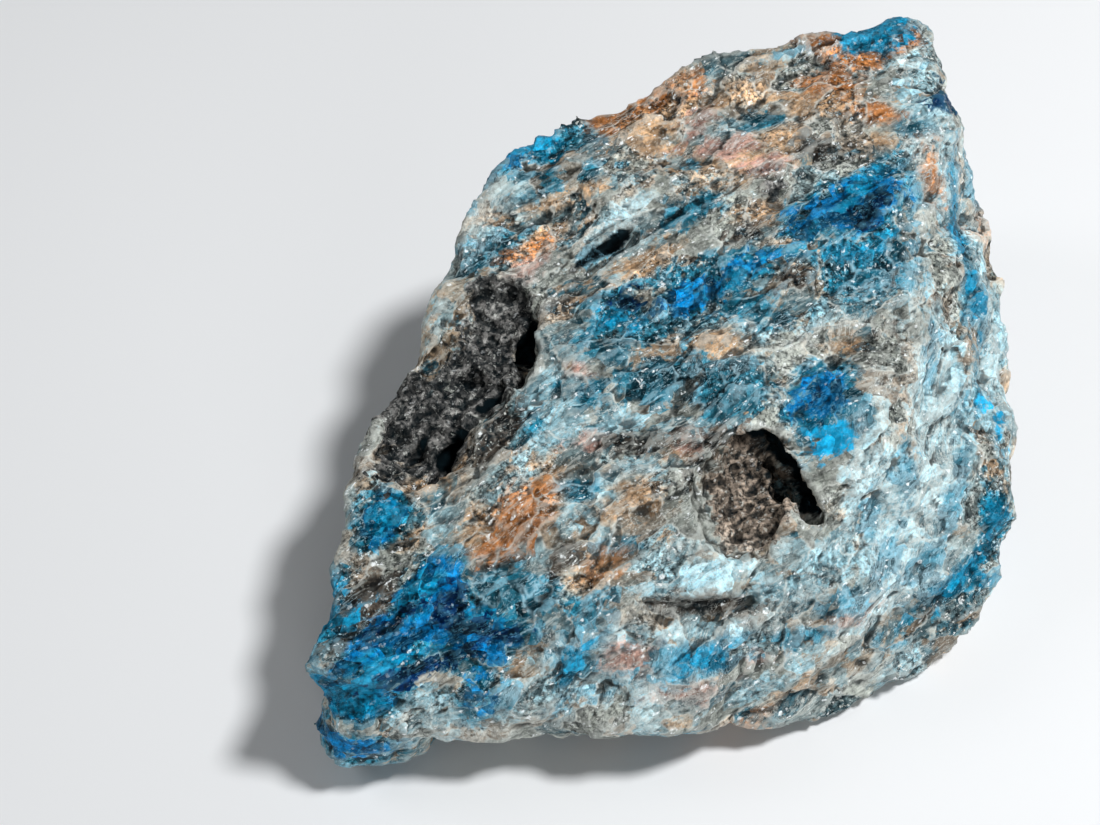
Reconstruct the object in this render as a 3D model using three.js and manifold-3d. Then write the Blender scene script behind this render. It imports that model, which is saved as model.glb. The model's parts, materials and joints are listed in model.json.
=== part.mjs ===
// A rough lump of massive blue apatite as it broke from its vein: one solid stone, lying on its
// flattest fracture. Millimetres, +Z up, origin under the middle of the stone on the table it rests on.
import * as THREE from "three";
import { ConvexGeometry } from "three/addons/geometries/ConvexGeometry.js";
import { SimplexNoise } from "three/addons/math/SimplexNoise.js";
import { TessellateModifier } from "three/addons/modifiers/TessellateModifier.js";
import { mergeVertices } from "three/addons/utils/BufferGeometryUtils.js";
import Module from "manifold-3d";

// Corners of the broken block before its surface is roughened, from left to right along each edge.
const BROW = [[-24, 15, 26], [-22, 22, 28.5], [-17, 32.5, 31], [-7, 37, 32.5], [10.5, 43.5, 34.5],
  [21, 47, 35.5], [31.5, 50, 36], [36.5, 48.5, 35], [36.5, 40, 33.5]];
const RIDGE = [[-3.5, -27, 18.5], [9.5, -26, 18.5], [20, -18, 20.5], [24, -7.5, 25], [28, 7, 29], [35, 30, 32]];
const RIGHT_RIM = [[41, 28, 23], [44, 20, 18], [41.5, 3, 15], [41.5, -12, 11], [38.5, -19, 7], [34.5, -25.5, 3]];
const FRONT_LIP = [[-25, -38, 6.5], [-18.5, -38, 7.5], [-10.5, -36.5, 9], [2, -36.5, 8.5], [7.5, -36, 5],
  [19, -31.5, 1.5], [25, -29, 0]];
const LEFT_RIM = [[-37, -37, 12], [-38, -34.5, 17], [-35, -25.5, 18.5], [-34.5, -12, 20], [-32, -5, 21], [-27, 5, 24]];
const HEEL = [[-31, -30, 5], [-31.5, -14, 5], [-27, 0, 6], [-24, 17, 8], [-18, 30, 9], [2, 39, 12],
  [20, 47, 14], [33, 50, 15], [40, 32, 8], [42, 8, 6]];
const FOOTPRINT = [[-25, -27], [-25, -12], [-19, 0], [-14, 14], [-6, 25], [7, 31], [21, 37], [30, 36],
  [35, 23], [37, 6], [36, -8], [33, -19], [24, -28], [14, -28], [-4, -26], [-17, -29]];

// The grain of the stone: layers lie along the broad face, drawn out in one direction.
const LAYER_NORMAL = new THREE.Vector3(0, -0.2, 0.98).normalize();
const DRAWN_OUT = new THREE.Vector3(0.82, 0.57, 0).projectOnPlane(LAYER_NORMAL).normalize();
const ACROSS = new THREE.Vector3().crossVectors(LAYER_NORMAL, DRAWN_OUT);

// Relief of the broken skin: height of each kind, and its span along, across and through the layers.
const LUMPS = { height: 1.0, span: [24, 13, 10] };
const LEDGES = { height: 0.9, span: [15, 7, 4.5] };
const GRIT = { height: 0.3, span: [6, 4.5, 3] };
const CLOTS = { height: 0.9, span: [3.4, 3.4, 3.4] }; // knobbly, with no grain, in the hollows
const FACE_SHARE = 0.6; // share of the relief that shows on the broad face, along the layers
const NOTCH_SHARE = 0.35; // the notch split cleanly, so it is smoother than the hollows
const SKIN_EDGE = 3.6; // longest triangle edge on the block
const PIT_EDGE = 2.5; // longest triangle edge in the hollows
const SEED = 7;

// The flat fracture that the stone rests on cuts this much off the bottom of the block.
const BASE_CUT = 2;

const wasm = await Module();
wasm.setup();

// A small repeatable random source, so that every build makes the same stone.
function seededRandom(seed) {
  let state = seed;
  return {
    random() {
      state = (Math.imul(state, 1664525) + 1013904223) >>> 0;
      return state / 2 ** 32;
    },
  };
}

const noise = new SimplexNoise(seededRandom(SEED));

// Noise stretched along the grain, from -1 to 1.
function grainNoise(point, [along, across, through]) {
  return noise.noise3d(
    point.dot(DRAWN_OUT) / along,
    point.dot(ACROSS) / across,
    point.dot(LAYER_NORMAL) / through,
  );
}

// How far a point of the skin stands out. Ledges are noise pressed towards two levels, and skin that
// lies along the layers is smoother than skin that breaks across them.
function relief(point, outward) {
  const acrossLayers = 1 - Math.abs(outward.dot(LAYER_NORMAL));
  const share = THREE.MathUtils.lerp(FACE_SHARE, 1, acrossLayers);
  const ledge = Math.tanh(3 * grainNoise(point, LEDGES.span));
  return (
    LUMPS.height * grainNoise(point, LUMPS.span) +
    share * LEDGES.height * ledge +
    share * GRIT.height * grainNoise(point, GRIT.span)
  );
}

// One closed surface with shared vertices.
function joined(geometry) {
  const bare = new THREE.BufferGeometry().setAttribute("position", geometry.getAttribute("position"));
  if (geometry.index) bare.setIndex(geometry.index);
  return mergeVertices(bare, 1e-3);
}

function clotted(point) {
  return CLOTS.height * grainNoise(point, CLOTS.span);
}

// Cuts a convex shape's skin into small triangles and pushes them in and out.
function roughened(shape, edge, heightAt) {
  const skin = joined(new TessellateModifier(edge, 24).modify(shape));
  skin.computeVertexNormals();
  const { position, normal } = skin.attributes;
  const point = new THREE.Vector3();
  const outward = new THREE.Vector3();
  for (let i = 0; i < position.count; i++) {
    point.fromBufferAttribute(position, i);
    outward.fromBufferAttribute(normal, i);
    point.addScaledVector(outward, heightAt(point, outward));
    position.setXYZ(i, point.x, point.y, point.z);
  }
  return skin;
}

function solid(geometry) {
  const closed = joined(geometry);
  return new wasm.Manifold(
    new wasm.Mesh({
      numProp: 3,
      vertProperties: new Float32Array(closed.attributes.position.array),
      triVerts: new Uint32Array(closed.index.array),
    }),
  );
}

// A knobbly egg: half sizes along its length, breadth and depth, turned about Z and then laid on the
// layers.
function lump({ at, half, turn }) {
  const egg = new THREE.IcosahedronGeometry(1, 2).scale(...half);
  const lie = new THREE.Quaternion().setFromUnitVectors(new THREE.Vector3(0, 0, 1), LAYER_NORMAL);
  egg.rotateZ(THREE.MathUtils.degToRad(turn)).applyQuaternion(lie).translate(...at);
  return solid(roughened(egg, PIT_EDGE, clotted));
}

function together(lumps) {
  return lumps.map(lump).reduce((whole, next) => whole.add(next));
}

function hull(points) {
  return new ConvexGeometry(points.map((p) => new THREE.Vector3(...p)));
}

// The block itself, with the flat fracture below.
function block() {
  const ground = FOOTPRINT.map(([x, y]) => [x, y, -BASE_CUT]);
  const corners = [...BROW, ...RIDGE, ...RIGHT_RIM, ...FRONT_LIP, ...LEFT_RIM, ...HEEL, ...ground];
  return solid(roughened(hull(corners), SKIN_EDGE, relief));
}

// The stub under the left end, which the stone leans on.
function foot() {
  return lump({ at: [-31.5, -34, 6], half: [7.5, 5.5, 7.5], turn: 20 });
}

// The dark hollow at the left edge, broken out in three bites, with a crevice under its right wall and
// a crack along its lower floor.
function leftHollow() {
  return together([
    { at: [-20, 4.5, 27], half: [8, 6, 5], turn: 70 },
    { at: [-23, -1.5, 24.5], half: [6, 5.5, 4], turn: 60 },
    { at: [-27, -7.5, 24], half: [8, 6, 4.5], turn: 60 },
    { at: [-16, 2.5, 24.5], half: [5, 1.4, 4], turn: 80 },
    { at: [-24.5, -10, 21], half: [4.5, 1, 3], turn: 65 },
  ]);
}

// The round hollow low on the broad face, with a deep crevice along its right wall.
function rightHollow() {
  return together([
    { at: [8.5, -16.5, 22.8], half: [8.5, 5.5, 4.2], turn: 75 },
    { at: [14, -14, 20.5], half: [5.5, 1.5, 6], turn: -58 },
  ]);
}

// The stepped notch low on the front: a wedge, deep under its upper rim and running out below.
function frontNotch() {
  const wedge = hull([
    [-4, -27.2, 20], [10.5, -26.6, 20], [-3.6, -26, 16.8], [10, -25.4, 16.8],
    [4, -34, 13.5], [7, -33, 13.5],
  ]);
  return solid(roughened(wedge, PIT_EDGE, (point) => NOTCH_SHARE * clotted(point)));
}

// The narrow slit that runs along the grain in the broad face.
function slit() {
  return lump({ at: [-6, 15, 28], half: [6, 1, 2.4], turn: 47 });
}

function base() {
  const depth = 20;
  return solid(new THREE.BoxGeometry(200, 200, depth).translate(0, 0, -depth / 2));
}

function stoneGeometry() {
  const made = [leftHollow(), rightHollow(), frontNotch(), slit(), base()].reduce(
    (stone, cut) => stone.subtract(cut),
    block().add(foot()),
  );
  const mesh = made.getMesh();
  const geometry = new THREE.BufferGeometry()
    .setAttribute("position", new THREE.BufferAttribute(mesh.vertProperties, 3))
    .setIndex(new THREE.BufferAttribute(mesh.triVerts, 1));
  geometry.computeBoundingBox();
  const { min, max } = geometry.boundingBox;
  geometry.translate(-(min.x + max.x) / 2, -(min.y + max.y) / 2, -min.z);
  geometry.computeVertexNormals();
  return geometry;
}

const apatite = new THREE.Mesh(
  stoneGeometry(),
  new THREE.MeshStandardMaterial({ color: 0x5d8790, roughness: 0.55, metalness: 0 }),
);
apatite.name = "apatite";

const specimen = new THREE.Group();
specimen.add(apatite);

export default specimen;
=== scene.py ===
"""A rough lump of blue apatite, lying on a pale table under a soft light from the right."""
import json
import math
import random
from typing import NamedTuple

import bpy
import numpy as np
from bpy.props import FloatProperty, FloatVectorProperty, IntProperty, PointerProperty
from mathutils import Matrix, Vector
from mathutils.bvhtree import BVHTree

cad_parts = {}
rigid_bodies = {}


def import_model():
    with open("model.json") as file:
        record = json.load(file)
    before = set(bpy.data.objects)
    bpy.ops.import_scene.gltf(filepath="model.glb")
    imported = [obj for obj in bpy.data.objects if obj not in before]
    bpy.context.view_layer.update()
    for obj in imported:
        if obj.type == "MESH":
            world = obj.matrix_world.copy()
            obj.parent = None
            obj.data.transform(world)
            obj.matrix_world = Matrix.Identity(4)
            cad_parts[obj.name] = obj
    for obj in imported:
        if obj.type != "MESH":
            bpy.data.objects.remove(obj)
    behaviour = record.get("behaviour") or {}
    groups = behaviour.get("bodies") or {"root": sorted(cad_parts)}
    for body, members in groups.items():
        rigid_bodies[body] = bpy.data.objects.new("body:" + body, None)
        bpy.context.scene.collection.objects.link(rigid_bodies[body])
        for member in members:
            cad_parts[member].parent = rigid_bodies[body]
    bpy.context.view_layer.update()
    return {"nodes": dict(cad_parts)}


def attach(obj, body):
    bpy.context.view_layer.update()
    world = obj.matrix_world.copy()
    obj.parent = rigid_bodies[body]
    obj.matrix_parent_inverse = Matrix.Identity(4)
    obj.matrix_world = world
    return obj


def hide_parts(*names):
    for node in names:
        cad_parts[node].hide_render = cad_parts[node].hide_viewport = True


bl_info = {
    "name": "Rough Apatite",
    "version": (1, 0, 0),
    "blender": (4, 5, 0),
    "location": "View3D > Sidebar > Apatite",
    "description": "Breaks the skin of a rough apatite, colours its minerals and sets the table and light",
    "category": "Object",
}

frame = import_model()
NODE = "apatite"
MM = 0.001

# The photograph's frame in pixels, and the width of the sensor that it was worked out for in millimetres.
PHOTO_WIDTH = 1100
PHOTO_HEIGHT = 825
SENSOR_WIDTH = 36.0

# The grain of the stone: layers lie along the broad face, drawn out in one direction.
LAYER_NORMAL = Vector((0.0, -0.2, 0.98)).normalized()
GRAIN = Vector((0.82, 0.57, 0.0))
DRAWN_OUT = (GRAIN - GRAIN.project(LAYER_NORMAL)).normalized()
ACROSS = LAYER_NORMAL.cross(DRAWN_OUT)

# The fibres beside the ridge run along it, turned by this much from the grain.
RIDGE_TURN = math.radians(-38.0)

HALF = (0.5, 0.5, 0.5)  # the middle of a noise or of a random colour

# How far one unit of a pattern goes along, across and through the layers, in millimetres.
SWAY = (16.0, 10.0, 9.0)
WANDER = (2.6, 2.0, 1.8)
CRYSTAL = (6.0, 4.0, 4.0)
FACET = (2.0, 1.3, 1.3)
CLOUD = (9.0, 6.0, 5.0)
RAGGED = (3.4, 2.4, 2.2)
SILK = (3.6, 0.62, 0.48)
FIBRE = (8.0, 0.5, 0.4)
FLECK = (0.6, 0.34, 0.34)

# Patterns with no grain: how many units of them go to a millimetre.
FINE = 1.9
CHIP = 1.5
GRIT = 1.2
RUBBLE = 0.5

SWAY_REACH = 5.0  # how far the layers are bent, in millimetres
WANDER_REACH = 2.4  # how far the borders of crystals wander, in millimetres
TABLE_SIZE = 3.0  # in metres


class Patch(NamedTuple):
    """An oval of one mineral as the photograph shows it: centre and half sizes in pixels, and the turn
    of its long axis in degrees, anticlockwise from level."""

    x: float
    y: float
    long: float
    short: float
    turn: float


# Where each mineral, and each crack, slit and frosty white part, shows in the photograph. The cracks are
# painted with shade, some brownish patches paint shade, and the white parts also paint highlight on the
# front lip and the ridge.
PATCHES = {
    "slate": [
        (578, 135, 24, 18, 50), (640, 125, 18, 9, 40), (745, 130, 28, 14, 10), (912, 668, 34, 18, 30),
        (715, 635, 44, 22, -25), (600, 345, 64, 20, 15), (545, 690, 30, 18, 60), (700, 175, 34, 10, 20),
        (900, 160, 18, 12, 10), (640, 470, 34, 20, 10), (770, 95, 34, 12, 15), (520, 205, 36, 14, 40),
        (740, 325, 60, 15, 12), (898, 245, 46, 12, 74), (845, 300, 34, 12, 40), (690, 430, 50, 16, 10),
        (600, 185, 40, 10, 20), (870, 60, 24, 14, 30),
    ],
    "aqua": [
        (622, 212, 34, 10, 38), (705, 200, 26, 12, 40), (690, 580, 60, 16, 8), (560, 425, 34, 22, 60),
        (500, 708, 50, 12, 8), (870, 470, 44, 22, 80), (830, 560, 44, 26, 40), (985, 400, 44, 14, 85),
        (600, 505, 40, 26, 5), (950, 470, 50, 22, 78), (400, 702, 34, 12, 0), (905, 300, 26, 12, 70),
        (760, 690, 44, 14, 5), (640, 700, 44, 10, 0), (780, 590, 40, 20, 10), (915, 62, 22, 14, 60),
        (715, 632, 40, 18, -25), (620, 675, 70, 16, 0), (930, 575, 44, 20, 40), (620, 430, 26, 14, 30),
        (553, 402, 40, 34, 60), (940, 420, 110, 36, 80), (900, 540, 80, 42, 60), (975, 260, 60, 18, 80),
        (610, 690, 110, 14, 0), (560, 650, 40, 18, 30), (620, 640, 40, 12, 0), (440, 720, 50, 12, 5),
    ],
    "teal": [
        (514, 590, 50, 30, -20), (550, 605, 26, 15, -20), (865, 270, 50, 32, 10), (810, 228, 24, 18, 45),
        (690, 212, 36, 17, 38), (535, 425, 16, 8, 60), (560, 385, 14, 8, 30), (910, 125, 18, 10, 15),
        (486, 258, 32, 10, 40), (545, 173, 30, 9, 10), (690, 290, 44, 26, 40), (575, 488, 20, 12, -15),
        (630, 547, 26, 13, 10), (730, 268, 52, 22, 25), (745, 300, 30, 14, 20), (590, 620, 26, 10, 40),
        (640, 325, 44, 16, 10), (930, 560, 26, 14, 30), (500, 235, 30, 9, 35), (735, 385, 36, 24, 0),
        (590, 395, 20, 16, 40), (845, 400, 22, 34, 20), (790, 52, 18, 8, 20), (930, 600, 40, 12, 20),
        (905, 470, 22, 9, 75), (950, 520, 30, 9, 70), (885, 560, 26, 10, 50), (962, 450, 30, 7, 80),
        (870, 520, 20, 8, 70), (840, 600, 30, 9, 20), (975, 310, 34, 7, 85), (935, 340, 26, 6, 78),
        (600, 690, 26, 8, 10), (520, 700, 22, 8, 15), (670, 660, 20, 8, 0), (780, 640, 26, 8, 10),
    ],
    "dark_teal": [
        (660, 375, 46, 22, 15), (725, 392, 44, 24, 0), (365, 757, 34, 14, -10), (660, 318, 30, 11, 10),
        (480, 262, 22, 7, 40), (880, 690, 30, 8, 20), (580, 138, 18, 12, 40), (516, 592, 38, 20, -20),
        (615, 300, 30, 12, 20), (910, 126, 12, 7, 10), (640, 545, 14, 9, 10), (590, 256, 14, 5, 40),
        (500, 240, 24, 7, 40), (540, 190, 22, 6, 25), (600, 168, 26, 6, 15), (620, 345, 40, 10, 10),
        (760, 120, 16, 8, 10), (690, 165, 16, 6, 10), (860, 150, 18, 7, 10), (780, 315, 20, 7, 15),
    ],
    "deep_blue": [
        (428, 602, 50, 30, 68), (460, 634, 58, 24, -4), (385, 645, 58, 27, 36), (345, 692, 26, 20, 20),
        (486, 672, 32, 10, 75), (848, 206, 48, 28, 45), (823, 398, 32, 22, 62), (704, 290, 30, 16, 42),
        (380, 520, 24, 16, 70), (340, 745, 18, 9, 10), (742, 270, 28, 12, 20),
    ],
    "azure": [
        (350, 692, 26, 19, 20), (374, 668, 26, 16, 20), (412, 602, 26, 12, 60), (738, 278, 22, 7, 25),
        (848, 200, 34, 10, 55), (868, 250, 34, 12, 15), (955, 585, 34, 9, 15), (946, 78, 12, 4, 80),
        (572, 672, 20, 9, 78), (708, 660, 18, 7, 10), (965, 258, 18, 5, 65), (620, 316, 14, 7, 30),
        (383, 515, 16, 9, 60), (395, 762, 14, 8, 60), (1000, 520, 20, 7, 85), (812, 425, 18, 9, 60),
        (470, 620, 30, 7, -5), (420, 650, 26, 6, 25),
    ],
    "cyan": [(829, 441, 20, 16, 20), (997, 424, 10, 4, 80)],
    "navy": [
        (447, 612, 20, 11, 60), (480, 629, 32, 7, -8), (440, 657, 42, 8, 22), (632, 300, 16, 8, 5),
        (866, 211, 24, 9, 50), (815, 400, 16, 6, 70), (385, 630, 26, 6, 35),
    ],
    "tan": [
        (642, 106, 55, 17, 15), (660, 152, 55, 9, 5), (640, 500, 30, 14, -10), (603, 564, 36, 19, 30),
        (475, 530, 26, 20, 70), (552, 232, 34, 12, 38), (590, 298, 44, 8, 14), (850, 345, 26, 12, 10),
        (800, 690, 28, 8, 10), (402, 540, 20, 8, 15), (715, 343, 24, 12, 15), (880, 140, 24, 10, -10),
        (560, 200, 36, 8, 20), (765, 218, 30, 16, 30), (800, 255, 26, 26, 20), (440, 555, 20, 10, 70),
        (740, 165, 40, 12, 10), (560, 470, 24, 12, 20), (680, 450, 26, 10, 0), (830, 95, 44, 22, 0),
        (730, 95, 50, 13, 18), (780, 140, 30, 10, 5), (560, 150, 30, 10, 20), (705, 165, 34, 12, 10),
        (962, 192, 50, 7, -62), (720, 185, 30, 8, 20), (645, 262, 34, 13, 40), (618, 512, 34, 14, -10),
    ],
    "rust": [
        (832, 80, 33, 15, 10), (872, 110, 30, 13, -20), (833, 42, 22, 12, 20), (905, 38, 15, 12, 60),
        (800, 82, 14, 7, 0), (525, 513, 42, 27, 62), (497, 548, 26, 16, 40), (935, 168, 28, 9, 85),
        (660, 95, 30, 8, 12), (615, 560, 20, 9, 25), (620, 112, 26, 8, 15), (540, 245, 20, 6, 40),
    ],
    "rose": [
        (695, 128, 18, 10, 70), (765, 165, 18, 9, 20), (755, 655, 18, 8, 10), (630, 660, 32, 14, 0),
        (855, 612, 18, 9, 10), (690, 445, 20, 9, 0), (530, 266, 24, 10, 40), (722, 150, 28, 9, 10),
        (700, 690, 34, 10, 0), (575, 372, 16, 9, 0), (590, 445, 14, 9, 20),
    ],
    # Brown mica and dirt, and painted shade in the strip under the front notch's rim and on the shaded
    # lower left.
    "brown": [
        (362, 598, 44, 20, 52), (338, 648, 30, 13, 65), (366, 600, 48, 26, 52), (495, 430, 34, 18, 75),
        (470, 402, 16, 12, 0), (895, 335, 24, 5, 78), (700, 606, 62, 11, -2), (770, 186, 14, 9, 20),
        (820, 150, 26, 10, 0), (745, 732, 16, 6, 0), (745, 232, 26, 9, 30), (872, 345, 30, 9, 74),
        (560, 560, 18, 10, 30), (640, 445, 34, 10, 5), (735, 438, 34, 9, 0), (560, 300, 26, 9, 30),
        (700, 470, 22, 9, 30), (790, 275, 26, 10, 10),
    ],
    "charcoal": [
        (505, 318, 44, 34, -65), (478, 362, 52, 36, 62), (432, 428, 56, 38, 62), (400, 470, 26, 14, 30),
        (500, 385, 26, 18, 80), (770, 186, 8, 5, 20), (455, 455, 30, 18, 60), (412, 402, 44, 22, 62),
        (394, 450, 36, 18, 70),
    ],
    "granular": [(750, 495, 58, 46, 85), (738, 452, 30, 18, 20)],
    # Cracks, sunk into the skin and painted with shade.
    "black": [
        (785, 463, 44, 14, -57), (800, 492, 28, 12, -82), (528, 350, 30, 10, 65), (455, 450, 38, 8, 62),
        (474, 598, 10, 4, -62), (602, 249, 46, 5, 41), (765, 438, 32, 8, -12), (425, 440, 30, 5, 62),
        (490, 400, 16, 5, 70),
    ],
    "slit": [(602, 249, 50, 14, 41)],
    # Frosty white crystal, and painted highlight on the front lip and along the ridge.
    "frost": [
        (965, 192, 62, 14, -62), (985, 330, 84, 14, -86), (930, 420, 110, 30, 80), (905, 545, 84, 38, 62),
        (600, 722, 150, 9, 2), (455, 735, 60, 9, 5), (830, 690, 60, 12, 10), (600, 640, 60, 14, 15),
        (560, 655, 30, 14, 35), (620, 222, 50, 12, 38), (880, 480, 60, 20, 70), (790, 610, 40, 16, 20),
        (915, 270, 70, 11, 73), (880, 385, 70, 12, 76), (857, 455, 50, 12, 80), (948, 165, 30, 9, -70),
        (690, 545, 50, 12, 10), (830, 330, 50, 9, 30), (880, 600, 60, 20, 40), (560, 700, 60, 14, 5),
        (680, 675, 50, 16, 0), (520, 690, 40, 12, 20), (590, 238, 50, 5, 37), (640, 690, 90, 20, 0),
        (930, 570, 50, 24, 40), (715, 640, 44, 18, -25),
    ],
}

# Minerals that also lie where the photograph doesn't reach, and how many patches of each.
UNSEEN_PATCHES = {
    "slate": 26, "aqua": 26, "teal": 40, "dark_teal": 14, "deep_blue": 18, "azure": 16, "navy": 6,
    "tan": 30, "rust": 14, "rose": 10, "brown": 18, "charcoal": 4, "frost": 14,
}


def linear(code):
    """A colour as a shader takes it, from the six hexadecimal digits that a paint program shows."""
    shares = [int(code[i:i + 2], 16) / 255 for i in (0, 2, 4)]
    return [s / 12.92 if s <= 0.04045 else ((s + 0.055) / 1.055) ** 2.4 for s in shares]


def colour(name, code, description):
    return FloatVectorProperty(
        name=name, description=description, default=linear(code), subtype="COLOR", min=0.0, max=1.0
    )


def length(name, millimetres, description):
    return FloatProperty(
        name=name, description=description, default=millimetres * MM, unit="LENGTH", precision=5, min=0.0
    )


class StoneForm(bpy.types.PropertyGroup):
    """Sizes of the broken skin."""

    skin_step: length("Skin Step", 0.49, "Edge of the small faces that carry the relief")
    ledge_height: length("Ledge Height", 0.45, "Rise from one layer of the stone to the next")
    ledge_length: length("Ledge Length", 15.0, "Usual length of a ledge along the grain")
    ledge_breadth: length("Ledge Breadth", 8.0, "Usual breadth of a ledge across the grain")
    ledge_depth: length("Ledge Depth", 6.0, "Usual distance from ledge to ledge through the layers")
    crystal_rise: length("Crystal Rise", 0.6, "How far a crystal's broken face tilts across its length")
    grain_rise: length("Grain Rise", 0.24, "How far a small grain's face tilts across its length")
    clot_size: length("Clot Size", 1.5, "Usual size of the round grains in the dark hollows")
    clot_height: length("Clot Height", 1.0, "How far the round grains stand out in the dark hollows")
    grit_height: length("Grit Height", 0.12, "Height of the finest roughness in the mesh")
    rubble_height: length("Rubble Height", 2.2, "Unevenness of the rims round the dark hollows")
    crack_depth: length("Crack Depth", 1.0, "How far the open cracks sink")
    slit_closing: length("Slit Closing", 0.7, "How far the walls of the narrow slit move together")
    seed: IntProperty(
        name="Seed", description="Picks the patches on the sides that no photograph shows", default=11
    )


class StoneColours(bpy.types.PropertyGroup):
    """Colours of the minerals, and of the painted shade, highlight, glow and glints."""

    matrix: colour("Matrix", "939791", "Grey-green ground between the crystals")
    matrix_warm: colour("Warm Matrix", "97897A", "Parts of the ground that iron has stained")
    slate: colour("Slate", "6C858C", "Blue-grey clear crystal over shade")
    aqua: colour("Aqua", "93B3BC", "Pale, thin and broken apatite")
    teal: colour("Teal", "2A6A7C", "Green-blue apatite")
    dark_teal: colour("Dark Teal", "2A5764", "Green-blue apatite in thick crystals")
    deep_blue: colour("Deep Blue", "04608A", "Apatite in thick clear crystals")
    azure: colour("Azure", "137693", "Apatite that light passes through")
    # A painted glow.
    cyan: colour("Cyan", "2AB0DA", "Crystal faces that glow")
    navy: colour("Navy", "021E3C", "Apatite over shade")
    tan: colour("Tan", "A88F74", "Weathered matrix")
    rust: colour("Rust", "A4754C", "Iron stain")
    rose: colour("Rose", "A5877C", "Pink feldspar")
    # This colour is also painted shade under the front notch's rim and on the lower left.
    brown: colour("Brown", "453F39", "Brown mica and dirt")
    charcoal: colour("Charcoal", "434241", "Sooty filling of the left hollow")
    ash: colour("Ash", "6E6D6B", "Paler grains among the soot")
    granular: colour("Granular", "8C8176", "Brown-grey filling of the right hollow")
    # This colour also paints highlight on the front lip and the ridge, and the painted glints.
    frost: colour("Frost", "DADDD8", "Crushed white crystal, veins and fibres")
    # Painted glints.
    sparkle: colour("Sparkle", "F4F8F9", "Tiny faces that catch the light")
    glint: colour("Glint", "86CBE6", "Light caught inside the clear blue crystals")
    # Painted shade, laid into the open cracks, small recesses and cavities.
    shade: colour("Shade", "0A0B0C", "Open cracks")


class StageSettings(bpy.types.PropertyGroup):
    """The camera's place, the light and the table."""

    camera_place: FloatVectorProperty(
        name="Camera Place",
        description="Where the camera stands",
        default=(-15.5 * MM, -117.7 * MM, 160.0 * MM),
        subtype="TRANSLATION",
    )
    camera_pitch: FloatProperty(
        name="Camera Pitch",
        description="How far the camera looks down",
        default=math.radians(52.0),
        subtype="ANGLE",
    )
    lens: FloatProperty(
        name="Lens", description="Focal length in millimetres", default=50.0, subtype="DISTANCE_CAMERA"
    )
    key_direction: FloatVectorProperty(
        name="Key Direction",
        description="Where the main light comes from",
        default=(0.461, 0.049, 0.886),
        subtype="DIRECTION",
    )
    key_distance: FloatProperty(
        name="Key Distance", description="How far off the main light is", default=0.6, unit="LENGTH"
    )
    key_size: FloatProperty(
        name="Key Size",
        description="Breadth of the main light, which softens shadows",
        default=0.11,
        unit="LENGTH",
    )
    key_power: FloatProperty(
        name="Key Power", description="Strength of the main light", default=3.2, subtype="POWER"
    )
    left_place: FloatVectorProperty(
        name="Left Fill",
        description="Where the weak light on the left hangs",
        default=(-0.5, 0.15, 0.42),
        subtype="TRANSLATION",
    )
    left_power: FloatProperty(
        name="Left Power", description="Strength of the light on the left", default=0.5, subtype="POWER"
    )
    front_place: FloatVectorProperty(
        name="Front Fill",
        description="Where the weak light in front hangs",
        default=(0.1, -0.65, 0.135),
        subtype="TRANSLATION",
    )
    front_power: FloatProperty(
        name="Front Power", description="Strength of the light in front", default=1.15, subtype="POWER"
    )
    fill_size: FloatProperty(
        name="Fill Size", description="Breadth of the two weak lights", default=0.26, unit="LENGTH"
    )
    sky_strength: FloatProperty(
        name="Sky Strength", description="Strength of the light from all around", default=0.13
    )
    table_colour: colour("Table", "EDEFF1", "The pale table")


class Wire:
    """A node's output that does maths: each operator adds the Math or Vector Math node it stands for."""

    def __init__(self, sheet, socket):
        self.sheet = sheet
        self.socket = socket

    def is_vector(self):
        return self.socket.type in {"VECTOR", "RGBA"}

    def _maths(self, operation, first, second):
        sockets = {0: first, 1: second}
        if not any(w.is_vector() for w in (first, second) if isinstance(w, Wire)):
            return self.sheet.add("ShaderNodeMath", {"operation": operation}, sockets)["Value"]
        if operation == "MULTIPLY" and isinstance(second, (int, float)):
            operation = "SCALE"
            sockets = {0: first, "Scale": second}
        return self.sheet.add("ShaderNodeVectorMath", {"operation": operation}, sockets)["Vector"]

    def __add__(self, other):
        return self._maths("ADD", self, other)

    def __radd__(self, other):
        return self._maths("ADD", other, self)

    def __sub__(self, other):
        return self._maths("SUBTRACT", self, other)

    def __rsub__(self, other):
        return self._maths("SUBTRACT", other, self)

    def __mul__(self, other):
        return self._maths("MULTIPLY", self, other)

    def __rmul__(self, other):
        return self._maths("MULTIPLY", self, other)

    def __abs__(self):
        return self._maths("ABSOLUTE", self, 0.0)

    def most(self, other):
        return self._maths("MAXIMUM", self, other)

    def dot(self, other):
        made = self.sheet.add("ShaderNodeVectorMath", {"operation": "DOT_PRODUCT"}, {0: self, 1: other})
        return made["Value"]

    def parts(self):
        made = self.sheet.add("ShaderNodeSeparateXYZ", {}, {0: self})
        return made["X"], made["Y"], made["Z"]


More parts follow.
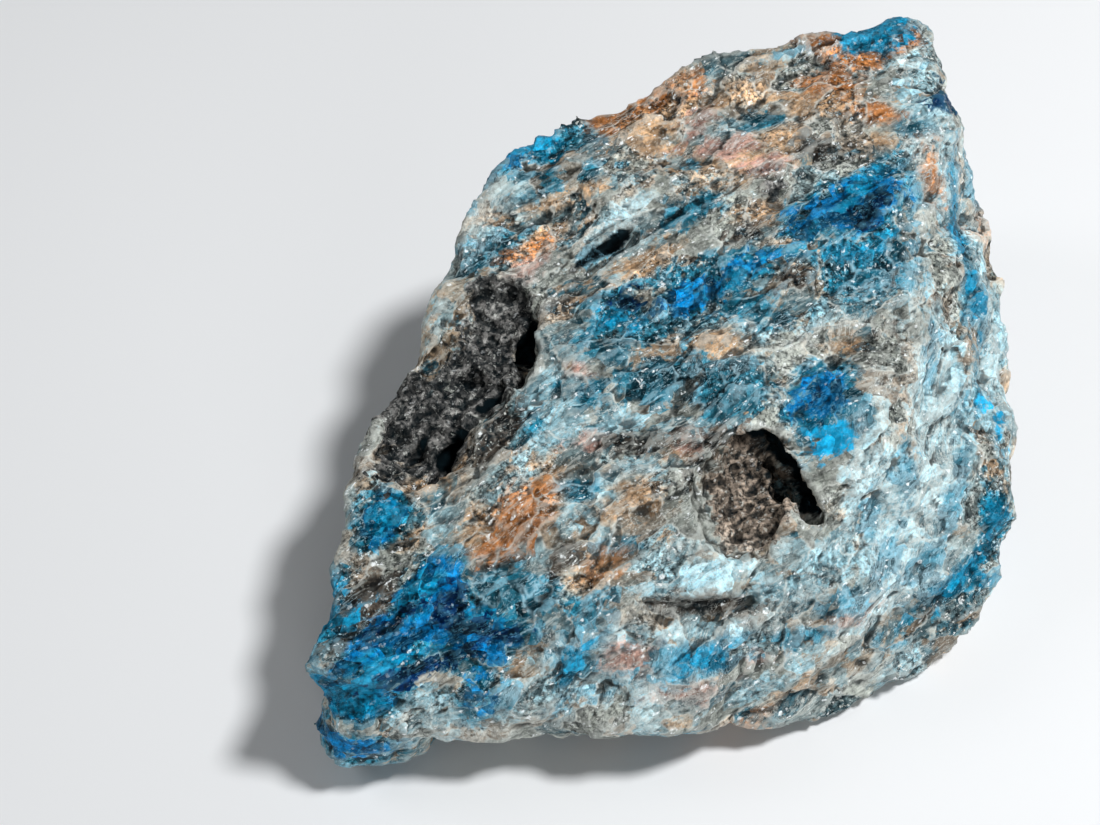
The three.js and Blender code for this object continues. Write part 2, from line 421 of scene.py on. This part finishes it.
class Sheet:
    """A node tree of either kind, and the few patterns that the stone's form and colours share."""

    def __init__(self, tree):
        self.tree = tree

    def add(self, kind, settings, sockets):
        """Adds a node, sets it up, fills its sockets and gives its outputs by name."""
        node = self.tree.nodes.new(kind)
        for name, value in settings.items():
            setattr(node, name, value)
        for key, value in sockets.items():
            if isinstance(key, int):
                socket = node.inputs[key]
            else:
                socket = next(s for s in node.inputs if s.enabled and s.name == key)
            if isinstance(value, Wire):
                self.tree.links.new(value.socket, socket)
            elif socket.type == "RGBA" and len(value) == 3:
                socket.default_value = (*value, 1.0)
            else:
                socket.default_value = value
        return {s.name: Wire(self, s) for s in node.outputs if s.enabled}

    def noise(self, place, detail=2.0, roughness=0.5):
        """Smooth noise about one unit across, near 0.5, as a number and as three."""
        made = self.add(
            "ShaderNodeTexNoise",
            {"noise_dimensions": "3D"},
            {"Vector": place, "Scale": 1.0, "Detail": detail, "Roughness": roughness},
        )
        return made["Fac" if "Fac" in made else "Factor"], made["Color"]

    def cells(self, place, feature="F1"):
        """Crystal-like cells about one unit across."""
        return self.add(
            "ShaderNodeTexVoronoi",
            {"voronoi_dimensions": "3D", "feature": feature},
            {"Vector": place, "Scale": 1.0},
        )

    def ramp(self, value, low, high, start=0.0, end=1.0):
        """Rises smoothly from start to end as the value goes from low to high."""
        return self.add(
            "ShaderNodeMapRange",
            {"interpolation_type": "SMOOTHSTEP", "clamp": True},
            {"Value": value, "From Min": low, "From Max": high, "To Min": start, "To Max": end},
        )["Result"]

    def mix(self, share, first, second):
        sockets = {"Factor": share, "A": first, "B": second}
        return self.add("ShaderNodeMix", {"data_type": "RGBA", "clamp_factor": True}, sockets)["Result"]

    def blend(self, share, first, second):
        """A number between two, as mix does with colours."""
        sockets = {"Factor": share, "A": first, "B": second}
        return self.add("ShaderNodeMix", {"data_type": "FLOAT"}, sockets)["Result"]

    def line(self, value, width):
        """One on the lines where a noise passes its middle, falling to nothing at that width."""
        return self.ramp(abs(value - 0.5), width, 0.0)


class ShaderSheet(Sheet):
    def attribute(self, name, vector=False):
        made = self.add("ShaderNodeAttribute", {"attribute_name": name}, {})
        return made["Vector"] if vector else made["Fac" if "Fac" in made else "Factor"]


class GeometrySheet(Sheet):
    def attribute(self, name, vector=False):
        kind = "FLOAT_VECTOR" if vector else "FLOAT"
        made = self.add("GeometryNodeInputNamedAttribute", {"data_type": kind}, {"Name": name})
        return made["Attribute"]


def spans(*millimetres):
    """Scale that makes one unit of a pattern this long along, across and through the layers."""
    return Vector([1.0 / m for m in millimetres])


def deselect_all():
    if bpy.context.object is not None and bpy.context.object.mode != "OBJECT":
        bpy.ops.object.mode_set(mode="OBJECT")
    bpy.ops.object.select_all(action="DESELECT")


def make_active(piece):
    deselect_all()
    piece.select_set(True)
    bpy.context.view_layer.objects.active = piece


def apply_modifier(piece, modifier):
    make_active(piece)
    bpy.ops.object.modifier_apply(modifier=modifier.name)


def copy_of_node(node, name):
    """A loose copy of a CAD node with its triangles joined, which may be changed."""
    if node not in frame["nodes"]:
        raise RuntimeError(f"The frame has no node {node}")
    make_active(frame["nodes"][node])
    bpy.ops.object.duplicate()
    piece = bpy.context.object
    bpy.ops.object.parent_clear(type="CLEAR_KEEP_TRANSFORM")
    piece.name = name
    piece.data.name = name
    piece.data.materials.clear()
    for key in list(piece.keys()):
        del piece[key]
    bpy.ops.object.mode_set(mode="EDIT")
    bpy.ops.mesh.select_all(action="SELECT")
    bpy.ops.mesh.remove_doubles(threshold=0.001 * MM)
    bpy.ops.object.mode_set(mode="OBJECT")
    return piece


def remesh(piece, step):
    modifier = piece.modifiers.new("even skin", "REMESH")
    modifier.mode = "VOXEL"
    modifier.voxel_size = step
    modifier.use_smooth_shade = True
    apply_modifier(piece, modifier)


def read_vectors(items, name):
    values = np.empty(len(items) * 3, np.float32)
    items.foreach_get(name, values)
    return values.reshape(-1, 3).astype(float)


def store(mesh, name, values):
    """Keeps one number or one vector for each vertex."""
    vector = values.ndim == 2
    attribute = mesh.attributes.new(name, "FLOAT_VECTOR" if vector else "FLOAT", "POINT")
    attribute.data.foreach_set("vector" if vector else "value", values.astype(np.float32).ravel())


class Sight:
    """The lines of sight of the photograph, from the camera's settings."""

    def __init__(self, stage):
        pitch = stage.camera_pitch
        self.eye = Vector(stage.camera_place)
        self.ahead = Vector((0.0, math.cos(pitch), -math.sin(pitch)))
        self.right = Vector((1.0, 0.0, 0.0))
        self.up = self.right.cross(self.ahead)
        self.pixels_per_unit = PHOTO_WIDTH * stage.lens / SENSOR_WIDTH

    def ray(self, x, y):
        aside = (x - PHOTO_WIDTH / 2) / self.pixels_per_unit
        above = (PHOTO_HEIGHT / 2 - y) / self.pixels_per_unit
        return (self.ahead + aside * self.right + above * self.up).normalized()


class MineralMap:
    """Finds how deep inside the patches of a mineral each vertex of the stone lies, in millimetres."""

    SMOOTHING = 3.0 * MM  # normals are averaged over this distance
    STEEPEST = 0.3  # least cosine between a patch's plane and the line of sight
    LEAST_DEPTH = 4.0 * MM  # a patch reaches at least this far into the stone
    DEPTH_SHARE = 1.2  # or as far as this share of its half breadth
    FAR_OUTSIDE = -6.0
    UNSEEN_LENGTHS = (2.0, 6.0)  # half lengths of the patches on the unseen sides, in millimetres
    UNSEEN_BREADTHS = (0.35, 0.6)  # and their half breadths as shares of those
    GRAZING = 0.15  # skin that faces the camera less than this counts as unseen
    CLEARANCE = 0.2 * MM  # how far off the skin a line of sight starts

    def __init__(self, stone, sight):
        self.points = read_vectors(stone.data.vertices, "co")
        self.normals = read_vectors(stone.data.vertices, "normal")
        self.sight = sight
        self.tree = BVHTree.FromObject(stone, bpy.context.evaluated_depsgraph_get())

    def smooth_normal(self, point):
        near = np.linalg.norm(self.points - np.array(point), axis=1) < self.SMOOTHING
        return Vector(self.normals[near].mean(axis=0)).normalized()

    def oval_seen(self, patch):
        """Centre, half axes and normal of a patch of the photograph, laid on the stone."""
        ray = self.sight.ray(patch.x, patch.y)
        centre, _, _, _ = self.tree.ray_cast(self.sight.eye, ray)
        if centre is None:
            return None
        normal = self.smooth_normal(centre)
        facing = -normal.dot(ray)
        if facing < self.STEEPEST:
            normal = (normal - ray * (self.STEEPEST - facing)).normalized()
        turn = math.radians(patch.turn)
        ends = []
        for half, angle in ((patch.long, turn), (patch.short, turn + math.pi / 2)):
            end = self.sight.ray(patch.x + half * math.cos(angle), patch.y - half * math.sin(angle))
            reach = (centre - self.sight.eye).dot(normal) / end.dot(normal)
            ends.append(self.sight.eye + end * reach - centre)
        return centre, ends[0], ends[1], normal

    def oval_unseen(self, chooser):
        """A patch at a random place that the photograph doesn't show, drawn out along the grain."""
        while True:
            pick = chooser.randrange(len(self.points))
            point = Vector(self.points[pick])
            to_eye = (self.sight.eye - point).normalized()
            normal = self.smooth_normal(point)
            long = chooser.uniform(*self.UNSEEN_LENGTHS) * MM
            short = long * chooser.uniform(*self.UNSEEN_BREADTHS)
            hit, _, _, _ = self.tree.ray_cast(point + normal * self.CLEARANCE, to_eye)
            if hit is not None or normal.dot(to_eye) < self.GRAZING:
                break
        axis = (DRAWN_OUT - DRAWN_OUT.project(normal)).normalized()
        return point, axis * long, normal.cross(axis) * short, normal

    def depth_in(self, ovals):
        deepest = np.full(len(self.points), self.FAR_OUTSIDE)
        for centre, long, short, normal in ovals:
            away = self.points - np.array(centre)
            thick = max(self.LEAST_DEPTH, self.DEPTH_SHARE * short.length)
            distance = np.sqrt(
                (away @ np.array(long / long.length_squared)) ** 2
                + (away @ np.array(short / short.length_squared)) ** 2
                + (away @ np.array(normal / thick)) ** 2
            )
            deepest = np.maximum(deepest, (1.0 - distance) * short.length / MM)
        return deepest


def map_minerals(stone, sight, seed):
    """Stores each mineral's depth on the stone's vertices."""
    minerals = MineralMap(stone, sight)
    chooser = random.Random(seed)
    for mineral, rows in PATCHES.items():
        ovals = [minerals.oval_seen(Patch(*row)) for row in rows]
        ovals = [o for o in ovals if o is not None]
        ovals += [minerals.oval_unseen(chooser) for _ in range(UNSEEN_PATCHES.get(mineral, 0))]
        store(stone.data, mineral, minerals.depth_in(ovals))


def store_layers(stone):
    """Stores each vertex's place along, across and through the layers, in millimetres."""
    points = read_vectors(stone.data.vertices, "co")
    axes = np.array([DRAWN_OUT, ACROSS, LAYER_NORMAL])
    store(stone.data, "layers", points @ axes.T / MM)


def geometry_sheet(name):
    tree = bpy.data.node_groups.new(name, "GeometryNodeTree")
    tree.interface.new_socket("Geometry", in_out="INPUT", socket_type="NodeSocketGeometry")
    tree.interface.new_socket("Geometry", in_out="OUTPUT", socket_type="NodeSocketGeometry")
    return GeometrySheet(tree)


def swayed(sheet, layers):
    """Places bent a little, so that layers and crystals are never straight."""
    _, drift = sheet.noise(layers * spans(*SWAY), detail=2.0)
    return layers + (drift - HALF) * SWAY_REACH


def crystal_place(sheet, bent):
    """Where crystals a few millimetres long lie, with uneven borders."""
    _, wander = sheet.noise(bent * spans(*WANDER), detail=2.0)
    return (bent + (wander - HALF) * WANDER_REACH) * spans(*CRYSTAL)


def facet_place(bent):
    """Where the small faces that a crystal broke into lie."""
    return bent * spans(*FACET)


def tilted_faces(sheet, place):
    """Cells whose faces tilt at random, from about -0.5 to 0.5, as broken crystals do."""
    cell = sheet.cells(place)
    lean = cell["Color"] - HALF
    return (place - cell["Position"]).dot(lean) + lean.parts()[0] * 0.5


def skin_height(sheet, form):
    """How far each place of the skin stands out, in millimetres."""
    layers = sheet.attribute("layers", vector=True)
    bent = swayed(sheet, layers)
    ledge_spans = [size / MM for size in (form.ledge_length, form.ledge_breadth, form.ledge_depth)]
    level, _ = sheet.noise(bent * spans(*ledge_spans), detail=3.0)
    ledges = sheet.ramp(level, 0.46, 0.53, -0.5, 0.5)
    crystals = tilted_faces(sheet, crystal_place(sheet, bent))
    grains = tilted_faces(sheet, facet_place(bent))
    clots = 0.45 - sheet.cells(bent * (MM / form.clot_size))["Distance"]
    grit, _ = sheet.noise(layers * GRIT, detail=4.0, roughness=0.65)
    rubble, _ = sheet.noise(layers * RUBBLE, detail=4.0, roughness=0.65)
    filling = sheet.attribute("charcoal").most(sheet.attribute("granular"))
    hollow = sheet.ramp(filling, -0.6, 1.0)
    rim = sheet.ramp(filling, -2.2, 0.0)
    slit = sheet.ramp(sheet.attribute("slit"), 0.0, 0.8)
    crack = sheet.ramp(sheet.attribute("black"), -0.3, 0.8) * (1.0 - slit)
    solid = 1.0 - hollow
    return (
        ledges * solid * (form.ledge_height / MM)
        + crystals * (solid * 0.7 + 0.3) * (form.crystal_rise / MM)
        + grains * (form.grain_rise / MM)
        + clots * hollow * (form.clot_height / MM)
        + (grit - 0.5) * (hollow + 1.0) * (2.0 * form.grit_height / MM)
        - crack * (form.crack_depth / MM)
        + (rubble - 0.5) * rim * (form.rubble_height / MM)
        + slit * (form.slit_closing / MM)
    )


def break_skin(stone, form):
    """Breaks the smooth skin into ledges, tilted crystal faces, grit and, in the hollows, round grains. It
    also stores how far small edges and larger cavities lie under the skin around them, in millimetres."""
    sheet = geometry_sheet("broken skin")
    entry = sheet.add("NodeGroupInput", {}, {})
    position = sheet.add("GeometryNodeInputPosition", {}, {})["Position"]
    normal = sheet.add("GeometryNodeInputNormal", {}, {})["Normal"]
    rise = {0: normal, "Scale": skin_height(sheet, form) * MM}
    raised = sheet.add("ShaderNodeVectorMath", {"operation": "SCALE"}, rise)["Vector"]
    x, y, z = (position + raised).parts()
    above_table = sheet.add("ShaderNodeCombineXYZ", {}, {"X": x, "Y": y, "Z": z.most(0.0)})["Vector"]
    sockets = {"Geometry": entry["Geometry"], "Position": above_table}
    moved = sheet.add("GeometryNodeSetPosition", {}, sockets)["Geometry"]
    for name, rounds in (("edge", 4), ("cavity", 40)):
        sockets = {"Value": position, "Iterations": rounds}
        flat = sheet.add("GeometryNodeBlurAttribute", {"data_type": "FLOAT_VECTOR"}, sockets)["Value"]
        moved = sheet.add(
            "GeometryNodeStoreNamedAttribute",
            {"data_type": "FLOAT", "domain": "POINT"},
            {"Geometry": moved, "Name": name, "Value": (flat - position).dot(normal) * (1.0 / MM)},
        )["Geometry"]
    sheet.add("NodeGroupOutput", {}, {"Geometry": moved})
    modifier = stone.modifiers.new("broken skin", "NODES")
    modifier.node_group = sheet.tree
    apply_modifier(stone, modifier)
    bpy.data.node_groups.remove(sheet.tree)


class Patterns:
    """The noises and cells that the stone's colours share."""

    def __init__(self, sheet):
        layers = sheet.attribute("layers", vector=True)
        bent = swayed(sheet, layers)
        self.cloud, _ = sheet.noise(bent * spans(*CLOUD), detail=3.0)
        self.ragged, raggeds = sheet.noise(bent * spans(*RAGGED), detail=5.0, roughness=0.65)
        self.ragged_parts = raggeds.parts()
        self.fine, fines = sheet.noise(layers * FINE, detail=3.0, roughness=0.7)
        self.fine_parts = fines.parts()
        self.silk, silks = sheet.noise(bent * spans(*SILK), detail=3.0, roughness=0.6)
        self.silk_parts = silks.parts()
        along_ridge = sheet.add(
            "ShaderNodeVectorRotate", {"rotation_type": "Z_AXIS"}, {"Vector": bent, "Angle": RIDGE_TURN}
        )["Vector"]
        self.fibre, _ = sheet.noise(along_ridge * spans(*FIBRE), detail=4.0, roughness=0.6)
        place = crystal_place(sheet, bent)
        self.crystal_parts = sheet.cells(place)["Color"].parts()
        self.crystal_rim = sheet.cells(place, "DISTANCE_TO_EDGE")["Distance"]
        facet = sheet.cells(facet_place(bent))["Color"]
        self.facet_parts = facet.parts()
        self.facet_lean = facet - HALF
        chip = sheet.cells(layers * CHIP)["Color"]
        self.chip_parts = chip.parts()
        self.chip_lean = chip - HALF
        self.fleck_parts = sheet.cells(bent * spans(*FLECK))["Color"].parts()
        # How far the borders of the patches wander in and out, in millimetres.
        self.drift = (
            (self.cloud - 0.5) * 2.0
            + (self.ragged - 0.5) * 3.5
            + (self.crystal_parts[0] - 0.5) * 1.4
            + (self.facet_parts[0] - 0.5) * 1.4
            + (self.chip_parts[0] - 0.5) * 0.8
        )


# The minerals from the lowest to the topmost: the least and greatest brightness of their faces, and how
# far in millimetres their borders fade.
LAYERS_OF_COLOUR = (
    ("slate", 0.5, 1.5, 0.5),
    ("aqua", 0.75, 1.25, 0.6),
    ("tan", 0.7, 1.3, 1.1),
    ("rose", 0.7, 1.3, 0.9),
    ("teal", 0.45, 1.7, 0.6),
    ("dark_teal", 0.35, 2.2, 0.5),
    ("rust", 0.7, 1.3, 1.1),
    ("brown", 0.4, 1.6, 0.6),
    ("deep_blue", 0.4, 1.9, 0.5),
    ("azure", 0.65, 1.5, 0.7),
    ("navy", 0.4, 2.2, 0.4),
    ("cyan", 0.6, 1.3, 0.5),
)
HALO = 1.2  # the blue crystals turn to teal this far round them, in millimetres

# What the crystals between the mapped patches are made of: each goes from its share of them upwards.
GROUND_SHARES = (
    ("matrix_warm", 0.28),
    ("slate", 0.5),
    ("aqua", 0.62),
    ("tan", 0.74),
    ("teal", 0.84),
    ("dark_teal", 0.94),
)
GROUND_BORDER = 0.02  # how softly one of them passes into the next

# How strongly each marking covers what lies under it.
FROST_AND_HIGHLIGHT_VEIL = 0.12
FIBRES = 0.85
BROAD_FIBRES = 0.6  # beside the thin ones
SILK_SHEEN = 0.4
THREADS = 0.75
CRYSTAL_RIMS = 0.65
# Painted glints on rough and on smooth crystal.
ROUGH_SPECKS = 0.9
SMOOTH_SPECKS = 0.5
WORN_EDGES = 0.35
PORES = 0.62
# Painted shade in small recesses and in cavities.
EDGE_SHADE = 0.7
CAVITY_SHADE = 0.4
GLOW = 0.45
SPARKLE = 0.8

# The last step on the colours: darker darks, then all a little lighter.
CONTRAST = 1.25
LIFT = 1.2

# Roughness of plain stone, what a polished face takes from it and what the filling of the hollows adds.
PLAIN_ROUGHNESS = 0.55
POLISH = 0.35
SOOT_ROUGHNESS = 0.2


class StoneColouring:
    """Builds up the stone's colour on a shader sheet, from the ground to the sparkle."""

    def __init__(self, sheet, colours):
        self.sheet = sheet
        self.colours = colours
        self.pattern = Patterns(sheet)
        self.surface = colours.matrix
        self.lay_ground()
        self.lay_minerals()
        self.fill_hollows()
        self.weather()
        self.draw_pale_marks()
        self.paint_pores_and_shade()
        self.add_light_marks()

    def inside(self, mineral, softness=0.5):
        """One inside the patches of a mineral, falling to nothing across their uneven borders."""
        depth = self.sheet.attribute(mineral)
        if mineral == "teal":
            blues = self.sheet.attribute("deep_blue").most(self.sheet.attribute("azure"))
            depth = depth.most(blues + HALO)
        return self.sheet.ramp(depth + self.pattern.drift, -softness, softness)

    def lay(self, share, colour_over):
        self.surface = self.sheet.mix(share, self.surface, colour_over)

    def lay_ground(self):
        """Crystals of several kinds between the mapped patches, with plain matrix over them in places."""
        pick = self.pattern.crystal_parts[1] + (self.pattern.ragged_parts[0] - 0.5) * 0.5
        for mineral, least in GROUND_SHARES:
            share = self.sheet.ramp(pick, least - GROUND_BORDER, least + GROUND_BORDER)
            self.lay(share, getattr(self.colours, mineral))
        self.lay(self.sheet.ramp(self.pattern.cloud, 0.42, 0.6, 0.2, 0.6), self.colours.matrix)

    def lay_minerals(self):
        """The mapped patches, each with lighter and darker faces."""
        pattern = self.pattern
        tilt = pattern.facet_parts[1] * 0.55 + pattern.chip_parts[1] * 0.25 + pattern.ragged_parts[2] * 0.7
        self.face = self.sheet.ramp(tilt, 0.45, 1.05)
        self.shares = {}
        for mineral, dark, light, softness in LAYERS_OF_COLOUR:
            self.shares[mineral] = self.inside(mineral, softness)
            base = getattr(self.colours, mineral)
            darker = [c * dark for c in base]
            lighter = [min(1.0, c * light) for c in base]
            self.lay(self.shares[mineral], self.sheet.mix(self.face, darker, lighter))
        shares = self.shares
        self.blue = shares["deep_blue"].most(shares["azure"]).most(shares["navy"]).most(shares["cyan"])
        self.clear = self.blue.most(shares["teal"] * 0.5).most(shares["dark_teal"] * 0.5)

    def fill_hollows(self):
        """The sooty filling of the left hollow and the granular filling of the right one."""
        sooty = self.inside("charcoal")
        filled = self.inside("granular")
        self.hollow = sooty.most(filled)
        self.bare = 1.0 - self.hollow
        self.lay(sooty, self.sheet.mix(self.face, self.colours.charcoal, self.colours.ash))
        self.lay(filled, self.colours.granular)

    def weather(self):
        """Veils the frosty parts and the convex edges in pale colour, partly painted highlight, and gives
        each crystal a smooth or a grainy break.
        """
        sheet = self.sheet
        pattern = self.pattern
        # Convex edges and the ridge get paler: partly wear, partly painted highlight.
        wear_and_ridge_highlight = sheet.ramp(sheet.attribute("cavity"), -0.2, -0.8) * self.bare
        self.frosted_and_lit = sheet.ramp(sheet.attribute("frost") + pattern.drift, -1.5, 1.5).most(wear_and_ridge_highlight * 0.6)
        self.lay(self.frosted_and_lit * (1.0 - self.blue) * FROST_AND_HIGHLIGHT_VEIL, self.colours.frost)
        settled = (self.blue * 0.7).most(self.shares["aqua"] * 0.6).most(self.frosted_and_lit * 0.6)
        self.smooth = sheet.ramp(pattern.crystal_parts[2], 0.38, 0.48).most(settled) * self.bare
        chipped = sheet.ramp(pattern.chip_parts[1], 0.0, 1.0, 0.7, 1.3)
        grainy = sheet.ramp(pattern.fine, 0.32, 0.68, 0.35, 1.65) * chipped
        soft = sheet.ramp(pattern.fine, 0.3, 0.7, 0.8, 1.2)
        calm = sheet.ramp(pattern.silk_parts[1], 0.32, 0.68, 0.75, 1.25) * soft
        facets = sheet.ramp(pattern.facet_parts[2], 0.0, 1.0, 0.78, 1.22)
        crystals = sheet.ramp(pattern.crystal_parts[0], 0.0, 1.0, 0.78, 1.22)
        self.surface = self.surface * sheet.blend(self.smooth, grainy, calm) * (facets * crystals)

    def draw_pale_marks(self):
        """Fibres, threads, rims of crystals and painted glints: white on matrix, pale blue on clear crystal
        as painted light.
        """
        sheet = self.sheet
        pattern = self.pattern
        broad = sheet.ramp(pattern.fibre, 0.5, 0.6) * BROAD_FIBRES
        fibrous = broad.most(sheet.line(pattern.fibre, 0.03)) * self.frosted_and_lit * FIBRES
        silky = fibrous.most(sheet.ramp(pattern.silk, 0.55, 0.66) * self.smooth * SILK_SHEEN)
        threads = sheet.line(pattern.silk, 0.022) * sheet.ramp(pattern.ragged_parts[1], 0.46, 0.58)
        threads = threads * THREADS
        rims = sheet.ramp(pattern.crystal_rim, 0.06, 0.0) * sheet.ramp(pattern.ragged_parts[2], 0.4, 0.56)
        rims = rims * (CRYSTAL_RIMS - self.blue.most(self.shares["brown"]) * 0.5)
        # Small painted glints.
        glint_specks = sheet.ramp(pattern.fine_parts[1], 0.58, 0.66)
        glint_specks = glint_specks * sheet.blend(self.smooth, ROUGH_SPECKS, SMOOTH_SPECKS)
        edges = sheet.ramp(sheet.attribute("edge"), -0.03, -0.14) * WORN_EDGES
        pale = silky.most(threads).most(rims).most(edges) * self.bare
        pale = pale.most(glint_specks * (1.0 - self.hollow * 0.4)) * (1.0 - self.blue * 0.5)
        # On clear crystal the pale marks take the glint colour, painted light caught inside the crystal.
        self.lay(pale, sheet.mix(self.clear, self.colours.frost, self.colours.glint))

    def paint_pores_and_shade(self):
        """Pores, and painted shade in cracks, small recesses and all that lies deep."""
        sheet = self.sheet
        pores = sheet.ramp(self.pattern.fine_parts[0], 0.46, 0.34) * sheet.blend(self.smooth, 0.85, 0.4)
        pores = pores * (1.0 - self.frosted_and_lit * 0.5)
        self.surface = self.surface * (1.0 - pores * PORES)
        # Painted shade: cracks, small recesses and cavities take the shade colour.
        self.shaded_crack = sheet.ramp(sheet.attribute("black") + (self.pattern.ragged - 0.5) * 2.0, -0.1, 0.4)
        edge_shade = sheet.ramp(sheet.attribute("edge"), 0.03, 0.16) * EDGE_SHADE
        deep = sheet.ramp(sheet.attribute("cavity"), 0.4, 1.8) * CAVITY_SHADE
        self.lay(self.shaded_crack.most(edge_shade).most(deep), self.colours.shade)

    def add_light_marks(self):
        """The painted glow of the cyan crystals and the painted glints of tiny faces that catch the light,
        then the last contrast.
        """
        sheet = self.sheet
        pattern = self.pattern
        # Painted glow: the cyan crystals are laid over again with their own colour.
        self.lay(self.shares["cyan"] * GLOW, self.colours.cyan)
        # Painted glints: tiny near-white faces that catch the light.
        sparkle = sheet.ramp(pattern.fleck_parts[2], 0.92, 0.97)
        sparkle = sparkle * sheet.ramp(pattern.fine_parts[2], 0.46, 0.62)
        sparkle = sparkle * (SPARKLE - self.hollow * 0.5) * (1.0 - self.blue * 0.65)
        self.lay(sparkle * (1.0 - self.shaded_crack), self.colours.sparkle)
        deeper = sheet.add("ShaderNodeGamma", {}, {"Color": self.surface, "Gamma": CONTRAST})["Color"]
        self.surface = deeper * LIFT

    def roughness(self):
        polished = self.sheet.ramp(self.pattern.chip_parts[2], 0.55, 0.75) * self.bare
        return PLAIN_ROUGHNESS - polished * POLISH + self.hollow * SOOT_ROUGHNESS

    def normal(self):
        """The skin's own normal, leaning with the small faces and roughened."""
        sheet = self.sheet
        pattern = self.pattern
        lean = pattern.facet_lean * 0.5 + pattern.chip_lean * 0.45
        normal = sheet.add("ShaderNodeNewGeometry", {}, {})["Normal"]
        facing = sheet.add("ShaderNodeVectorMath", {"operation": "NORMALIZE"}, {0: normal + lean})["Vector"]
        relief = pattern.ragged * 0.4 + pattern.fine * 0.4 - self.shaded_crack * 0.6
        bump = {"Strength": 0.6, "Distance": 0.35 * MM, "Height": relief, "Normal": facing}
        return sheet.add("ShaderNodeBump", {}, bump)["Normal"]


def shader_sheet(name):
    """A new material with no nodes yet, and the sheet to fill it from."""
    material = bpy.data.materials.new(name)
    material.use_nodes = True
    material.node_tree.nodes.clear()
    return material, ShaderSheet(material.node_tree)


def stone_material(colours):
    """All the minerals of the stone in one surface, placed by what its vertices hold."""
    material, sheet = shader_sheet("apatite stone")
    colouring = StoneColouring(sheet, colours)
    shader = sheet.add(
        "ShaderNodeBsdfPrincipled",
        {},
        {
            "Base Color": colouring.surface,
            "Roughness": colouring.roughness(),
            "Normal": colouring.normal(),
            "IOR": 1.63,
            "Specular IOR Level": 0.12,
            "Specular Tint": colours.glint,
        },
    )["BSDF"]
    sheet.add("ShaderNodeOutputMaterial", {}, {"Surface": shader})
    return material


def table_material(stage):
    """A matt pale table with a faint unevenness."""
    material, sheet = shader_sheet("pale table")
    place = sheet.add("ShaderNodeTexCoord", {}, {})["Object"]
    cloud, _ = sheet.noise(place * 6.0, detail=3.0)
    tone = sheet.mix(cloud, [c * 0.97 for c in stage.table_colour], stage.table_colour)
    shader = sheet.add("ShaderNodeBsdfPrincipled", {}, {"Base Color": tone, "Roughness": 0.6})["BSDF"]
    sheet.add("ShaderNodeOutputMaterial", {}, {"Surface": shader})
    return material


def add_light(name, place, size, power):
    """A round soft light that shines at the stone."""
    deselect_all()
    bpy.ops.object.light_add(type="AREA", location=place)
    light = bpy.context.object
    light.name = name
    light.rotation_euler = place.to_track_quat("Z", "Y").to_euler()
    light.data.shape = "DISK"
    light.data.size = size
    light.data.energy = power


class APATITE_OT_stone(bpy.types.Operator):
    """Breaks the solid's skin into ledges and crystals and colours its minerals"""

    bl_idname = "apatite.stone"
    bl_label = "Break the Stone"
    bl_options = {"REGISTER", "UNDO"}

    def execute(self, context):
        form = context.scene.apatite_form
        stone = copy_of_node(NODE, "apatite_stone")
        remesh(stone, form.skin_step)
        store_layers(stone)
        map_minerals(stone, Sight(context.scene.apatite_stage), form.seed)
        break_skin(stone, form)
        stone.data.materials.append(stone_material(context.scene.apatite_colours))
        make_active(stone)
        bpy.ops.object.shade_smooth()
        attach(stone, "root")
        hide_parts(NODE)
        return {"FINISHED"}


class APATITE_OT_stage(bpy.types.Operator):
    """Lays the table and sets up the light and the camera"""

    bl_idname = "apatite.stage"
    bl_label = "Set the Stage"
    bl_options = {"REGISTER", "UNDO"}

    def execute(self, context):
        stage = context.scene.apatite_stage
        deselect_all()
        bpy.ops.mesh.primitive_plane_add(size=TABLE_SIZE, location=(0.0, 0.0, 0.0))
        table = context.object
        table.name = "table"
        table.data.materials.append(table_material(stage))

        towards = Vector(stage.key_direction).normalized()
        add_light("key_light", towards * stage.key_distance, stage.key_size, stage.key_power)
        add_light("left_fill", Vector(stage.left_place), stage.fill_size, stage.left_power)
        add_light("front_fill", Vector(stage.front_place), stage.fill_size, stage.front_power)

        world = bpy.data.worlds.new("soft sky")
        world.use_nodes = True
        sky = next(n for n in world.node_tree.nodes if n.type == "BACKGROUND")
        sky.inputs["Color"].default_value = (1.0, 1.0, 1.0, 1.0)
        sky.inputs["Strength"].default_value = stage.sky_strength
        context.scene.world = world

        bpy.ops.object.camera_add(location=stage.camera_place)
        camera = context.object
        camera.name = "camera"
        camera.rotation_euler = (math.pi / 2 - stage.camera_pitch, 0.0, 0.0)
        camera.data.sensor_width = SENSOR_WIDTH
        camera.data.lens = stage.lens
        camera.data.clip_start = 0.01
        context.scene.camera = camera
        context.scene.view_settings.view_transform = "Standard"
        return {"FINISHED"}


class APATITE_PT_panel(bpy.types.Panel):
    """Lists the steps and what can be changed in them"""

    bl_label = "Apatite"
    bl_idname = "APATITE_PT_panel"
    bl_space_type = "VIEW_3D"
    bl_region_type = "UI"
    bl_category = "Apatite"

    def draw(self, context):
        for operator, group in (
            (APATITE_OT_stone, context.scene.apatite_form),
            (None, context.scene.apatite_colours),
            (APATITE_OT_stage, context.scene.apatite_stage),
        ):
            box = self.layout.box()
            if operator is not None:
                box.operator(operator.bl_idname)
            for name in group.__annotations__:
                box.prop(group, name)


CLASSES = (StoneForm, StoneColours, StageSettings, APATITE_OT_stone, APATITE_OT_stage, APATITE_PT_panel)


def register():
    for cls in CLASSES:
        bpy.utils.register_class(cls)
    bpy.types.Scene.apatite_form = PointerProperty(type=StoneForm)
    bpy.types.Scene.apatite_colours = PointerProperty(type=StoneColours)
    bpy.types.Scene.apatite_stage = PointerProperty(type=StageSettings)


def unregister():
    del bpy.types.Scene.apatite_stage
    del bpy.types.Scene.apatite_colours
    del bpy.types.Scene.apatite_form
    for cls in reversed(CLASSES):
        bpy.utils.unregister_class(cls)


def main():
    register()
    bpy.ops.apatite.stone()
    bpy.ops.apatite.stage()


if __name__ == "__main__":
    main()
